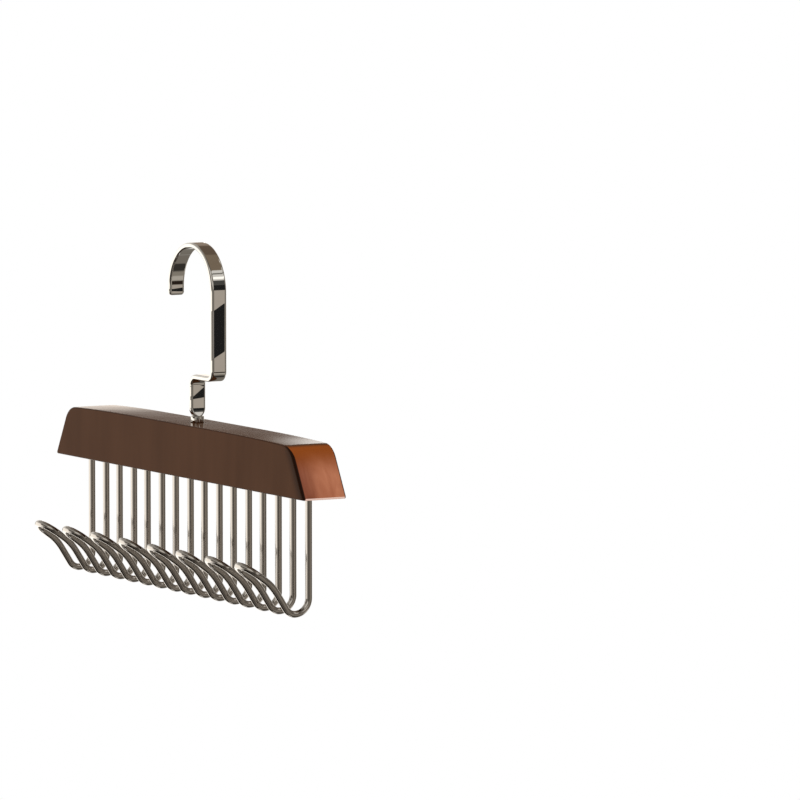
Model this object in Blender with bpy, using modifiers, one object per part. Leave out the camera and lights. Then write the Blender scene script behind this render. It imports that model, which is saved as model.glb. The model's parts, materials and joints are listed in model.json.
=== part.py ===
"""Multi-hook hanger.

A wooden bar hangs from a flat strip hook, which turns on a pin through the middle of the bar.
Eight bent wire hooks stand in blind holes along the underside of the bar.

Metres, +Z up. The origin is the point inside the strip hook's bend that rests on the rail.
X runs along the bar, Y along the rail, and the wire hooks lean towards -Y.
"""

import math

import bmesh
import bpy
from mathutils import Vector

# Strip hook, bent from one flat bar
STRIP_WIDTH = 0.0100
STRIP_THICKNESS = 0.0030
STRIP_EDGE_RADIUS = 0.0008
RAIL_BEND_RADIUS = 0.0250
TIP_LENGTH = 0.0049
TIP_CORNER_RADIUS = 0.0020
SHANK_LENGTH = 0.0460
OFFSET_BEND_RADIUS = 0.0035
LOWER_LEG_LENGTH = 0.0138
FOOT_TAPER_LENGTH = 0.0047
NECK_RADIUS = 0.0025
NECK_INSERTION = 0.0012

# Swivel pin, washer and lock nut
COLLAR_WALL = 0.0012
COLLAR_HEIGHT = 0.0035
COLLAR_EDGE_RADIUS = 0.0006
PIN_RADIUS = 0.0025
PIN_SHOULDER = 0.0005
THREAD_CHAMFER = 0.0004
THREAD_END_LENGTH = 0.0008
WASHER_RADIUS = 0.0045
WASHER_THICKNESS = 0.0008
WASHER_CHAMFER = 0.0002
NUT_SIDES = 6
NUT_ACROSS_FLATS = 0.0070
NUT_HEX_HEIGHT = 0.0030
NUT_CROWN_HEIGHT = 0.0012
NUT_CROWN_WALL = 0.0008
NUT_CHAMFER = 0.0005

# Wooden bar
BAR_LENGTH = 0.3140
BAR_THICKNESS = 0.0286
BAR_HEIGHT = 0.0314
BAR_CROWN = 0.0005
BAR_ARCH = 0.0010
BAR_END_SLANT = math.radians(28.8)
BAR_END_RADIUS = 0.0150
BAR_EDGE_RADIUS = 0.0022
BAR_BOTTOM_RADIUS = 0.0007
RECESS_DEPTH = 0.0085
RECESS_MARGIN = 0.0005
RECESS_WALL = 0.00145

# Wire hooks, each one length of wire bent double; bend radii are those of the wire's centre line
HOOKS_PER_SIDE = 4
WIRE_RADIUS = 0.0020
LEG_SPACING = 0.01873
LEG_END_MARGIN = 0.0208
LEG_SOCKET_DEPTH = 0.0180
LEG_DROP = 0.0585
CROOK_RADIUS = 0.0090
RISE_BEND_RADIUS = 0.0070
RISE_ANGLE = math.radians(57.5)
RISE_LENGTH = 0.0110
TONGUE_BEND_RADIUS = 0.0280
TONGUE_ANGLE = math.radians(36.0)
TONGUE_LENGTH = 0.0055

# Clearances
SEAT_GAP = 0.0003
CUT_OVERRUN = 0.0010
MERGE_DISTANCE = 0.00002

# Facets
RAIL_BEND_STEP = math.radians(7.5)
BEND_STEP = math.radians(11.25)
TIP_BEND_STEPS = 12
CORNER_CHORDS = 4
FOOT_STEPS = 6
BAR_EDGE_STEPS = 5
BAR_END_STEPS = 10
TURNED_STEPS = 24
HOLE_SIDES = 16
WIRE_RESOLUTION = 2
SMOOTH_ANGLE = math.radians(35.0)
FLAT_ANGLE = math.radians(0.05)

# Radii that follow from what each piece holds
STRIP_CENTRE_RADIUS = RAIL_BEND_RADIUS + STRIP_THICKNESS / 2
OFFSET_CENTRE_RADIUS = OFFSET_BEND_RADIUS + STRIP_THICKNESS / 2
SOCKET_RADIUS = NECK_RADIUS + SEAT_GAP
COLLAR_RADIUS = SOCKET_RADIUS + COLLAR_WALL
THREAD_RADIUS = PIN_RADIUS - PIN_SHOULDER
NUT_BORE_RADIUS = THREAD_RADIUS + SEAT_GAP
RECESS_RADIUS = WASHER_RADIUS + RECESS_MARGIN
LEG_HOLE_RADIUS = WIRE_RADIUS + SEAT_GAP

# Levels, from the rail seat downwards
FOOT_Z = -(RAIL_BEND_RADIUS + SHANK_LENGTH + 2 * OFFSET_CENTRE_RADIUS + LOWER_LEG_LENGTH)
NECK_Z = FOOT_Z - FOOT_TAPER_LENGTH
NECK_END_Z = NECK_Z - NECK_INSERTION
SOCKET_FLOOR_Z = NECK_END_Z - SEAT_GAP
COLLAR_TOP_Z = NECK_Z
COLLAR_BOTTOM_Z = COLLAR_TOP_Z - COLLAR_HEIGHT
BAR_TOP_Z = COLLAR_BOTTOM_Z - SEAT_GAP
BAR_BOTTOM_Z = BAR_TOP_Z - BAR_HEIGHT
RECESS_CEILING_Z = BAR_BOTTOM_Z + RECESS_DEPTH
WASHER_TOP_Z = RECESS_CEILING_Z - SEAT_GAP
WASHER_BOTTOM_Z = WASHER_TOP_Z - WASHER_THICKNESS
NUT_TOP_Z = WASHER_BOTTOM_Z - SEAT_GAP
NUT_HEX_BOTTOM_Z = NUT_TOP_Z - NUT_HEX_HEIGHT
NUT_BOTTOM_Z = NUT_HEX_BOTTOM_Z - NUT_CROWN_HEIGHT
PIN_END_Z = NUT_BOTTOM_Z - THREAD_END_LENGTH

# Places of the wire hooks: the inner legs stand clear of the recess, the outer ones of the ends
INNER_LEG_X = RECESS_RADIUS + RECESS_WALL + LEG_HOLE_RADIUS
FIRST_HOOK_X = INNER_LEG_X + LEG_SPACING / 2
LAST_HOOK_X = BAR_LENGTH / 2 - LEG_END_MARGIN - LEG_SPACING / 2
HOOK_PITCH = (LAST_HOOK_X - FIRST_HOOK_X) / (HOOKS_PER_SIDE - 1)


def clear_scene():
    for item in list(bpy.data.objects):
        bpy.data.objects.remove(item, do_unlink=True)


def new_collection(name):
    collection = bpy.data.collections.new(name)
    bpy.context.scene.collection.children.link(collection)
    return collection


def principled(name, colour, roughness, metallic, coat=0.0):
    material = bpy.data.materials.new(name)
    material.use_nodes = True
    shader = material.node_tree.nodes["Principled BSDF"]
    shader.inputs["Base Color"].default_value = (*colour, 1.0)
    shader.inputs["Roughness"].default_value = roughness
    shader.inputs["Metallic"].default_value = metallic
    shader.inputs["Coat Weight"].default_value = coat
    return material


def shade(mesh):
    mesh.shade_smooth()
    mesh.set_sharp_from_angle(angle=SMOOTH_ANGLE)


def mesh_object(name, bm, collection, material=None, parent=None):
    mesh = bpy.data.meshes.new(name)
    bmesh.ops.recalc_face_normals(bm, faces=bm.faces)
    bm.to_mesh(mesh)
    bm.free()
    if mesh.polygons:
        shade(mesh)
    if material:
        mesh.materials.append(material)
    result = bpy.data.objects.new(name, mesh)
    result.parent = parent
    collection.objects.link(result)
    return result


def as_cutter(cutter):
    cutter.hide_render = True
    cutter.display_type = "WIRE"
    return cutter


def add_boolean(target, other, operation):
    modifier = target.modifiers.new(other.name, "BOOLEAN")
    modifier.operation = operation
    modifier.solver = "EXACT"
    modifier.object = other


def turned(name, profile, collection, material):
    """A turned piece. The profile runs down its outer side as (radius, height) pairs.

    A profile that starts off the axis is a closed ring, and the piece has a bore.
    """
    mesh = bpy.data.meshes.new(name)
    edges = [(i, i + 1) for i in range(len(profile) - 1)]
    if profile[0][0] > 0:
        edges.append((len(profile) - 1, 0))
    mesh.from_pydata([(radius, 0.0, height) for radius, height in profile], edges, [])
    mesh.materials.append(material)
    result = bpy.data.objects.new(name, mesh)
    collection.objects.link(result)
    screw = result.modifiers.new("turn", "SCREW")
    screw.axis = "Z"
    screw.steps = TURNED_STEPS
    screw.render_steps = TURNED_STEPS
    screw.use_merge_vertices = True
    screw.merge_threshold = MERGE_DISTANCE
    evaluated = result.evaluated_get(bpy.context.evaluated_depsgraph_get())
    result.data = bpy.data.meshes.new_from_object(evaluated)
    result.data.name = name
    result.modifiers.clear()
    shade(result.data)
    return result


def rounded_rim(radius, top, bottom, size):
    """Outer side of a turned rim between two heights, with both of its edges rounded."""
    upper = []
    lower = []
    for step in range(CORNER_CHORDS):
        angle = math.pi / 2 * step / (CORNER_CHORDS - 1)
        outward = radius - size + size * math.sin(angle)
        upward = size - size * math.cos(angle)
        upper.append((outward, top - upward))
        lower.append((outward, bottom + upward))
    return upper + lower[::-1]


def add_prism(bm, flat_radius, low, high, sides, x=0.0):
    """An upright prism whose flats lie at the given radius from its axis."""
    corner_radius = flat_radius / math.cos(math.pi / sides)
    made = bmesh.ops.create_cone(
        bm, cap_ends=True, segments=sides, depth=high - low,
        radius1=corner_radius, radius2=corner_radius)
    bmesh.ops.translate(bm, verts=made["verts"], vec=(x, 0.0, (low + high) / 2))


class Route:
    """A path in a plane, drawn as straight runs and round bends from a start and a heading."""

    def __init__(self, start, heading):
        self.points = [Vector(start)]
        self.headings = [heading]

    def forward(self):
        return Vector((math.cos(self.headings[-1]), math.sin(self.headings[-1])))

    def straight(self, length):
        self.points.append(self.points[-1] + self.forward() * length)
        self.headings.append(self.headings[-1])

    def bend(self, radius, turn, largest_step=BEND_STEP):
        steps = math.ceil(abs(turn) / largest_step)
        side = math.copysign(radius, turn)
        ahead = self.forward()
        centre = self.points[-1] + Vector((-ahead.y, ahead.x)) * side
        first = self.headings[-1]
        for step in range(1, steps + 1):
            heading = first + turn * step / steps
            self.points.append(centre + Vector((math.sin(heading), -math.cos(heading))) * side)
            self.headings.append(heading)


def rounded_rectangle(half_width, half_thickness, radius):
    """Section of the strip as (across, through) pairs; equal halves and radius give a circle.

    Each corner's chords touch the true round, so the flats lie at the full width and thickness.
    """
    points = []
    corners = ((1, 1), (-1, 1), (-1, -1), (1, -1))
    reach = radius / math.cos(math.pi / 4 / CORNER_CHORDS)
    for quarter, (sign_across, sign_through) in enumerate(corners):
        centre_across = sign_across * (half_width - radius)
        centre_through = sign_through * (half_thickness - radius)
        for chord in range(CORNER_CHORDS):
            angle = math.pi / 2 * (quarter + (chord + 1 / 2) / CORNER_CHORDS)
            points.append((centre_across + reach * math.cos(angle),
                           centre_through + reach * math.sin(angle)))
    return points


def end_inset(distance, radius):
    """How far a quarter round of the given radius draws an edge in at a distance from the end."""
    if distance >= radius:
        return 0.0
    return radius - math.sqrt(radius ** 2 - (radius - distance) ** 2)


def add_rings(bm, rings):
    """Skin a row of rings with equal numbers of points, and close both ends."""
    loops = [[bm.verts.new(point) for point in ring] for ring in rings]
    for one, other in zip(loops, loops[1:]):
        for i in range(len(one)):
            j = (i + 1) % len(one)
            bm.faces.new((one[i], one[j], other[j], other[i]))
    bm.faces.new(reversed(loops[0]))
    bm.faces.new(loops[-1])


def strip_stations():
    """Sections along the strip, from its free tip to its neck: place, heading and section."""
    half_width = STRIP_WIDTH / 2
    half_thickness = STRIP_THICKNESS / 2
    plain = (half_width, half_thickness, STRIP_EDGE_RADIUS)
    tip_x = -STRIP_CENTRE_RADIUS
    tip_z = -RAIL_BEND_RADIUS - TIP_LENGTH
    stations = []
    for step in range(CORNER_CHORDS):
        distance = TIP_CORNER_RADIUS * (1 - math.cos(math.pi / 2 * step / CORNER_CHORDS))
        across = half_width - end_inset(distance, TIP_CORNER_RADIUS)
        through = half_thickness - end_inset(distance, STRIP_EDGE_RADIUS)
        edge_radius = STRIP_EDGE_RADIUS * through / half_thickness
        stations.append((Vector((tip_x, tip_z + distance)), math.pi / 2, (across, through, edge_radius)))

    route = Route((tip_x, tip_z + TIP_CORNER_RADIUS), math.pi / 2)
    route.straight(TIP_LENGTH - TIP_CORNER_RADIUS)
    route.bend(STRIP_CENTRE_RADIUS, -math.pi, RAIL_BEND_STEP)
    route.straight(SHANK_LENGTH)
    route.bend(OFFSET_CENTRE_RADIUS, -math.pi / 2)
    route.straight(STRIP_CENTRE_RADIUS - 2 * OFFSET_CENTRE_RADIUS)
    route.bend(OFFSET_CENTRE_RADIUS, math.pi / 2)
    route.straight(LOWER_LEG_LENGTH)
    stations += [(point, heading, plain) for point, heading in zip(route.points, route.headings)]

    neck = (NECK_RADIUS, NECK_RADIUS, NECK_RADIUS)
    for step in range(1, FOOT_STEPS + 1):
        share = step / FOOT_STEPS
        eased_share = (share + share * share * (3 - 2 * share)) / 2
        section = [a + (b - a) * eased_share for a, b in zip(plain, neck)]
        stations.append((Vector((0.0, FOOT_Z - FOOT_TAPER_LENGTH * share)), -math.pi / 2, section))
    stations.append((Vector((0.0, NECK_END_Z)), -math.pi / 2, neck))
    return stations


def make_hook_strip(collection, material):
    """The strip hook: one bar bent over the rail and back to the pin's axis, necked down round."""
    rings = []
    for place, heading, section in strip_stations():
        normal = Vector((-math.sin(heading), math.cos(heading)))
        rings.append([(place.x + normal.x * through, across, place.y + normal.y * through)
                      for across, through in rounded_rectangle(*section)])
    bm = bmesh.new()
    add_rings(bm, rings)
    mesh_object("hook_strip", bm, collection, material)


def make_swivel_pin(collection, material):
    """The turned pin: a collar with a socket for the strip's neck, a shank and a threaded end."""
    profile = [(0.0, SOCKET_FLOOR_Z), (SOCKET_RADIUS, SOCKET_FLOOR_Z), (SOCKET_RADIUS, COLLAR_TOP_Z)]
    profile += rounded_rim(COLLAR_RADIUS, COLLAR_TOP_Z, COLLAR_BOTTOM_Z, COLLAR_EDGE_RADIUS)
    profile += [
        (PIN_RADIUS, COLLAR_BOTTOM_Z),
        (PIN_RADIUS, RECESS_CEILING_Z),
        (THREAD_RADIUS, RECESS_CEILING_Z),
        (THREAD_RADIUS, PIN_END_Z + THREAD_CHAMFER),
        (THREAD_RADIUS - THREAD_CHAMFER, PIN_END_Z),
        (0.0, PIN_END_Z),
    ]
    turned("swivel_pin", profile, collection, material)


def make_thrust_washer(collection, material):
    """The washer between the recess's ceiling and the nut."""
    rim = WASHER_RADIUS - WASHER_CHAMFER
    profile = [
        (NUT_BORE_RADIUS, WASHER_TOP_Z),
        (rim, WASHER_TOP_Z),
        (WASHER_RADIUS, WASHER_TOP_Z - WASHER_CHAMFER),
        (WASHER_RADIUS, WASHER_BOTTOM_Z + WASHER_CHAMFER),
        (rim, WASHER_BOTTOM_Z),
        (NUT_BORE_RADIUS, WASHER_BOTTOM_Z),
    ]
    turned("thrust_washer", profile, collection, material)


def make_lock_nut(collection, cutters, material):
    """The lock nut: a chamfered hexagon with a round crown that holds its locking ring."""
    corner = NUT_ACROSS_FLATS / 2 / math.cos(math.pi / NUT_SIDES)
    crown = NUT_BORE_RADIUS + NUT_CROWN_WALL
    profile = [
        (NUT_BORE_RADIUS, NUT_TOP_Z),
        (corner - NUT_CHAMFER, NUT_TOP_Z),
        (corner, NUT_TOP_Z - NUT_CHAMFER / 2),
        (corner, NUT_HEX_BOTTOM_Z + NUT_CHAMFER / 2),
        (corner - NUT_CHAMFER, NUT_HEX_BOTTOM_Z),
        (crown, NUT_HEX_BOTTOM_Z),
        (crown, NUT_BOTTOM_Z + NUT_CHAMFER),
        (crown - NUT_CHAMFER, NUT_BOTTOM_Z),
        (NUT_BORE_RADIUS, NUT_BOTTOM_Z),
    ]
    nut = turned("lock_nut", profile, collection, material)
    bm = bmesh.new()
    add_prism(bm, NUT_ACROSS_FLATS / 2, NUT_BOTTOM_Z - CUT_OVERRUN, NUT_TOP_Z + CUT_OVERRUN, NUT_SIDES)
    hexagon = as_cutter(mesh_object("nut_hexagon", bm, cutters))
    add_boolean(nut, hexagon, "INTERSECT")


def bar_stations():
    """Places across the bar's thickness where its outline is drawn, closer in the edge rounds."""
    flat = BAR_THICKNESS / 2 - BAR_EDGE_RADIUS
    crown_shares = (0.0, 1 / 3, 2 / 3)
    half = [flat * share for share in crown_shares]
    for step in range(BAR_EDGE_STEPS + 1):
        half.append(flat + BAR_EDGE_RADIUS * math.sin(math.pi / 2 * step / BAR_EDGE_STEPS))
    return [-y for y in reversed(half[1:])] + half


def bar_half_outline(y):
    """Half of the bar's outline at one place across it, from the underside to the middle top."""
    half = BAR_THICKNESS / 2
    inset = end_inset(half - abs(y), BAR_EDGE_RADIUS)
    low = end_inset(half - abs(y), BAR_BOTTOM_RADIUS)
    top = BAR_HEIGHT - BAR_CROWN * (y / half) ** 2 - inset
    slope = math.tan(BAR_END_SLANT)
    foot_x = BAR_LENGTH / 2 - inset / math.cos(BAR_END_SLANT)
    radius = BAR_END_RADIUS - inset
    round_z = top - BAR_ARCH - radius
    round_x = foot_x - round_z * slope - radius / math.cos(BAR_END_SLANT)
    corner = low + BAR_BOTTOM_RADIUS
    points = [(foot_x - low * slope - BAR_BOTTOM_RADIUS, low), (foot_x - corner * slope, corner)]
    for step in range(BAR_END_STEPS + 1):
        angle = BAR_END_SLANT + (math.pi / 2 - BAR_END_SLANT) * step / BAR_END_STEPS
        points.append((round_x + radius * math.cos(angle), round_z + radius * math.sin(angle)))
    arch_shares = (0.8, 0.6, 0.4, 0.2, 0.0)
    for share in arch_shares:
        points.append((round_x * share, top - BAR_ARCH * share ** 2))
    return points


def make_wooden_bar(collection, cutters, material, pivot):
    """The bar: outlines lofted across its thickness, then bored for the legs and the pin."""
    rings = []
    for y in bar_stations():
        right = bar_half_outline(y)
        left = [(-x, z) for x, z in reversed(right[:-1])]
        rings.append([(x, y, z) for x, z in right + left])
    bm = bmesh.new()
    add_rings(bm, rings)
    bmesh.ops.recalc_face_normals(bm, faces=bm.faces)
    bmesh.ops.dissolve_limit(bm, angle_limit=FLAT_ANGLE, verts=bm.verts, edges=bm.edges)
    bar = mesh_object("wooden_bar", bm, collection, material, pivot)

    holes = bmesh.new()
    for x in leg_places():
        add_prism(holes, LEG_HOLE_RADIUS, -CUT_OVERRUN, LEG_SOCKET_DEPTH, HOLE_SIDES, x)
    bore = bmesh.new()
    add_prism(bore, PIN_RADIUS + SEAT_GAP, -CUT_OVERRUN, BAR_HEIGHT + CUT_OVERRUN, TURNED_STEPS)
    recess = bmesh.new()
    add_prism(recess, RECESS_RADIUS, -CUT_OVERRUN, RECESS_DEPTH, TURNED_STEPS)
    for name, shape in (("leg_holes", holes), ("pin_bore", bore), ("nut_recess", recess)):
        cutter = as_cutter(mesh_object(name, shape, cutters, parent=pivot))
        add_boolean(bar, cutter, "DIFFERENCE")


def hook_places():
    """The wire hooks' centres along the bar, the same on either side of the pin."""
    half = [FIRST_HOOK_X + index * HOOK_PITCH for index in range(HOOKS_PER_SIDE)]
    return [-x for x in reversed(half)] + half


def leg_places():
    """The legs' centres along the bar, two to a hook."""
    return [x + side * LEG_SPACING / 2 for x in hook_places() for side in (-1, 1)]


def wire_points():
    """Centre line of one wire hook about its middle, from leg end to leg end.

    Each leg drops from the bar, turns up through the crook, rises outwards and leans over into
    the tongue. A half round in the tongue's own plane joins the two sides at the tip.
    """
    leg_top = LEG_SOCKET_DEPTH - SEAT_GAP
    route = Route((0.0, leg_top), -math.pi / 2)
    route.straight(leg_top + LEG_DROP)
    route.bend(CROOK_RADIUS, math.pi / 2)
    route.bend(RISE_BEND_RADIUS, RISE_ANGLE)
    route.straight(RISE_LENGTH)
    route.bend(TONGUE_BEND_RADIUS, TONGUE_ANGLE - RISE_ANGLE)
    route.straight(TONGUE_LENGTH)
    ahead = route.forward()
    radius = LEG_SPACING / 2
    side = [(-radius, -point.x, point.y) for point in route.points]
    tip = []
    for step in range(1, TIP_BEND_STEPS):
        angle = math.pi * step / TIP_BEND_STEPS
        place = route.points[-1] + ahead * radius * math.sin(angle)
        tip.append((-radius * math.cos(angle), -place.x, place.y))
    other = [(-x, y, z) for x, y, z in reversed(side)]
    return side + tip + other


def make_wire_hooks(collection, material, pivot):
    """The wire hooks, alike and evenly spaced, which share one curve."""
    points = wire_points()
    curve = bpy.data.curves.new("wire_hook", "CURVE")
    curve.dimensions = "3D"
    curve.bevel_depth = WIRE_RADIUS
    curve.bevel_resolution = WIRE_RESOLUTION
    curve.use_fill_caps = True
    spline = curve.splines.new("POLY")
    spline.points.add(len(points) - 1)
    for target, point in zip(spline.points, points):
        target.co = (*point, 1.0)
    spline.use_smooth = True
    curve.materials.append(material)
    for number, x in enumerate(hook_places(), start=1):
        hook = bpy.data.objects.new(f"wire_hook_{number}", curve)
        hook.parent = pivot
        hook.location = (x, 0.0, 0.0)
        collection.objects.link(hook)


def main():
    clear_scene()
    parts = new_collection("multi_hook_hanger")
    cutters = new_collection("cutters")
    chrome = principled("polished_strip", (0.62, 0.60, 0.57), 0.08, 1.0)
    wire = principled("polished_wire", (0.45, 0.42, 0.39), 0.14, 1.0)
    plated = principled("plated_steel", (0.55, 0.54, 0.52), 0.30, 1.0)
    wood = principled("lacquered_wood", (0.085, 0.040, 0.024), 0.30, 0.0, coat=0.5)

    pivot = bpy.data.objects.new("bar_pivot", None)
    pivot.location = (0.0, 0.0, BAR_BOTTOM_Z)
    parts.objects.link(pivot)

    make_hook_strip(parts, chrome)
    make_swivel_pin(parts, chrome)
    make_thrust_washer(parts, plated)
    make_lock_nut(parts, cutters, plated)
    make_wooden_bar(parts, cutters, wood, pivot)
    make_wire_hooks(parts, wire, pivot)


main()
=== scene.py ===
import json
import math

import bmesh
import bpy
from mathutils import Matrix, Vector

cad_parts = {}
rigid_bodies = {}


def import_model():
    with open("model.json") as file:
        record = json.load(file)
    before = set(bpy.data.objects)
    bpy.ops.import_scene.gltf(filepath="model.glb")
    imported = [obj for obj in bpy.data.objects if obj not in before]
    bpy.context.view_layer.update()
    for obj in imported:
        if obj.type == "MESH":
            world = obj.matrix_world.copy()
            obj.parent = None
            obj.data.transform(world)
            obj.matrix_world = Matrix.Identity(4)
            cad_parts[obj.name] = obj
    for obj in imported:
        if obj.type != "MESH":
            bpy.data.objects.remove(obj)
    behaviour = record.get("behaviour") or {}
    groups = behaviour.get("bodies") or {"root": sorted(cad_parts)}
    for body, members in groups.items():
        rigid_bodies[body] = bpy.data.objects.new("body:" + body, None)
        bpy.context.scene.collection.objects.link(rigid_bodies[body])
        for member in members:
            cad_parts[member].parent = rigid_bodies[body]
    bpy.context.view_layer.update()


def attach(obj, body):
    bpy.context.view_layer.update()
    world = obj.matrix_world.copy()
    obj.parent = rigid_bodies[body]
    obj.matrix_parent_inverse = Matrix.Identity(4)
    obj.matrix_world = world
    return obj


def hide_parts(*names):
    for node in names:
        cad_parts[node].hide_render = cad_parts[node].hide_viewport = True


# The multi-hook hanger as it looks: fine pieces, finishes, light and camera.
#
# Metres, +Z up. The origin is the point inside the strip hook's bend that rests on the rail.
# X runs along the bar, Y along the rail, and the wire hooks lean towards -Y.

# Strip hook
STRIP_WIDTH = 0.0100
STRIP_THICKNESS = 0.0030
STRIP_EDGE_RADIUS = 0.0012
STRIP_FACE_CROWN = 0.00008
STRIP_CROWN_POWER = 8
RAIL_BEND_RADIUS = 0.0250
TIP_LENGTH = 0.0049
TIP_CORNER_RADIUS = 0.0020
SHANK_LENGTH = 0.0460
OFFSET_BEND_RADIUS = 0.0035
LOWER_LEG_LENGTH = 0.0138
FOOT_TAPER_LENGTH = 0.0047
FOOT_SWELL = 0.00107
FOOT_SWELL_KNEE = 0.5
FOOT_ROUND_POWER = 7
SECTION_ROUND_LIMIT = 0.98
NECK_RADIUS = 0.0025
NECK_INSERTION = 0.0012

# Swivel pin, washer and lock nut
COLLAR_WALL = 0.0012
COLLAR_HEIGHT = 0.0035
COLLAR_EDGE_RADIUS = 0.0004
COLLAR_SEAT_GAP = 0.00005
PIN_RADIUS = 0.0025
PIN_SHOULDER = 0.0005
THREAD_PITCH = 0.0007
THREAD_DEPTH = 0.00035
THREAD_CHAMFER = 0.0004
THREAD_END_LENGTH = 0.0008
WASHER_RADIUS = 0.0045
WASHER_THICKNESS = 0.0008
WASHER_EDGE_RADIUS = 0.00025
NUT_SIDES = 6
NUT_ACROSS_FLATS = 0.0070
NUT_HEX_HEIGHT = 0.0030
NUT_CROWN_HEIGHT = 0.0012
NUT_CROWN_WALL = 0.0008
NUT_CHAMFER = 0.0005
NUT_RING_WALL = 0.0005
NUT_RING_MARGIN = 0.00006

# Wooden bar
BAR_LENGTH = 0.3140
BAR_THICKNESS = 0.0286
BAR_HEIGHT = 0.0314
BAR_CROWN = 0.00003
BAR_END_CROWN = 0.0001
BAR_ARCH = 0.0012
BAR_ARCH_POWER = 4
BAR_END_SLANT = math.radians(28.8)
BAR_END_RADIUS = 0.0150
BAR_EDGE_RADIUS = 0.0022
BAR_TOP_EDGE_RADIUS = 0.0009
BAR_BOTTOM_RADIUS = 0.0009
RECESS_DEPTH = 0.0085
RECESS_MARGIN = 0.0005
RECESS_WALL = 0.00145
HOLE_CHAMFER = 0.0003
LEG_HOLE_MARGIN = 0.00006
BORE_MARGIN = 0.0001

# Wire hooks; bend radii are those of the wire's centre line
HOOKS_PER_SIDE = 4
WIRE_RADIUS = 0.0020
LEG_SPACING = 0.01873
LEG_END_MARGIN = 0.0208
LEG_SOCKET_DEPTH = 0.0180
LEG_DROP = 0.05849
CROOK_RADIUS = 0.0090
RISE_BEND_RADIUS = 0.0070
RISE_ANGLE = math.radians(57.5)
RISE_LENGTH = 0.0110
TONGUE_BEND_RADIUS = 0.0280
TONGUE_ANGLE = math.radians(36.0)
TONGUE_LENGTH = 0.00547

SEAT_GAP = 0.0003
LEG_HOLE_CLEARANCE = 0.0003
CUT_OVERRUN = 0.0010

# Fineness of the meshes
BEND_STEP = math.radians(3.0)
RAIL_BEND_STEP = math.radians(2.0)
TIP_BEND_STEPS = 48
CORNER_CHORDS = 6
FACE_STEPS = 14
SHANK_STEP = 0.0004
FOOT_STEPS = 20
TURNED_SIDES = 64
ROUND_STEPS = 6
WIRE_SIDES = 28
BAR_FACE_STEPS = 10
BAR_EDGE_STEPS = 12
BAR_END_STEPS = 28
BAR_ARCH_STEPS = 24
HOLE_SIDES = 40
THREAD_STEPS_PER_TURN = 10
SMOOTH_ANGLE = math.radians(32.0)

# Radii and levels that follow from these sizes
STRIP_CENTRE_RADIUS = RAIL_BEND_RADIUS + STRIP_THICKNESS / 2
OFFSET_CENTRE_RADIUS = OFFSET_BEND_RADIUS + STRIP_THICKNESS / 2
SOCKET_RADIUS = NECK_RADIUS + SEAT_GAP
COLLAR_RADIUS = SOCKET_RADIUS + COLLAR_WALL
THREAD_RADIUS = PIN_RADIUS - PIN_SHOULDER
NUT_BORE_RADIUS = THREAD_RADIUS + SEAT_GAP
NUT_CROWN_RADIUS = NUT_BORE_RADIUS + NUT_CROWN_WALL
NUT_RING_RADIUS = NUT_BORE_RADIUS + NUT_RING_WALL
NUT_LIP = NUT_CHAMFER / 4
RECESS_RADIUS = WASHER_RADIUS + RECESS_MARGIN
TIP_Z = -RAIL_BEND_RADIUS - TIP_LENGTH
FOOT_Z = -(RAIL_BEND_RADIUS + SHANK_LENGTH + 2 * OFFSET_CENTRE_RADIUS + LOWER_LEG_LENGTH)
NECK_Z = FOOT_Z - FOOT_TAPER_LENGTH
NECK_END_Z = NECK_Z - NECK_INSERTION
SOCKET_FLOOR_Z = NECK_END_Z - SEAT_GAP
BAR_TOP_Z = NECK_Z - COLLAR_HEIGHT - SEAT_GAP
COLLAR_BOTTOM_Z = BAR_TOP_Z + COLLAR_SEAT_GAP
BAR_BOTTOM_Z = BAR_TOP_Z - BAR_HEIGHT
RECESS_CEILING_Z = BAR_BOTTOM_Z + RECESS_DEPTH
WASHER_TOP_Z = RECESS_CEILING_Z - SEAT_GAP
WASHER_BOTTOM_Z = WASHER_TOP_Z - WASHER_THICKNESS
NUT_TOP_Z = WASHER_BOTTOM_Z - SEAT_GAP
NUT_HEX_BOTTOM_Z = NUT_TOP_Z - NUT_HEX_HEIGHT
NUT_BOTTOM_Z = NUT_HEX_BOTTOM_Z - NUT_CROWN_HEIGHT
NUT_RING_TOP_Z = NUT_HEX_BOTTOM_Z + NUT_CHAMFER
PIN_END_Z = NUT_BOTTOM_Z - THREAD_END_LENGTH
INNER_LEG_X = RECESS_RADIUS + RECESS_WALL + WIRE_RADIUS + LEG_HOLE_CLEARANCE
FIRST_HOOK_X = INNER_LEG_X + LEG_SPACING / 2
LAST_HOOK_X = BAR_LENGTH / 2 - LEG_END_MARGIN - LEG_SPACING / 2
HOOK_PITCH = (LAST_HOOK_X - FIRST_HOOK_X) / (HOOKS_PER_SIDE - 1)

# Polishing leaves parts of the strip's flat faces tilted slightly upwards. Each part has its side
# of the strip (1 outside, -1 inside the bend), its lower and its upper end, and how far across it
# reaches. An end has a level on the middle line, a slant across the strip, and a softness.
POLISHED_PARTS = (
    (1, (-0.0617, 0.54, 0.0005), (-0.0327, 0.60, 0.0004), 0.0038),
    (1, (-0.0819, 0.02, 0.0002), (-0.0813, 0.05, 0.0002), 0.0060),
    (1, (-0.0893, 0.10, 0.0003), (-0.0842, 0.75, 0.0011), 0.0060),
    (1, (-0.0954, 0.00, 0.0002), (-0.0945, 0.00, 0.0002), 0.0060),
    (-1, (-0.0278, -0.05, 0.0002), (-0.0257, 0.10, 0.0002), 0.0040),
)
POLISH_TILT = math.radians(4.6)
POLISH_SIDE_SOFTNESS = 0.0004
POLISH_UPRIGHT_POWER = 8

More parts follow.
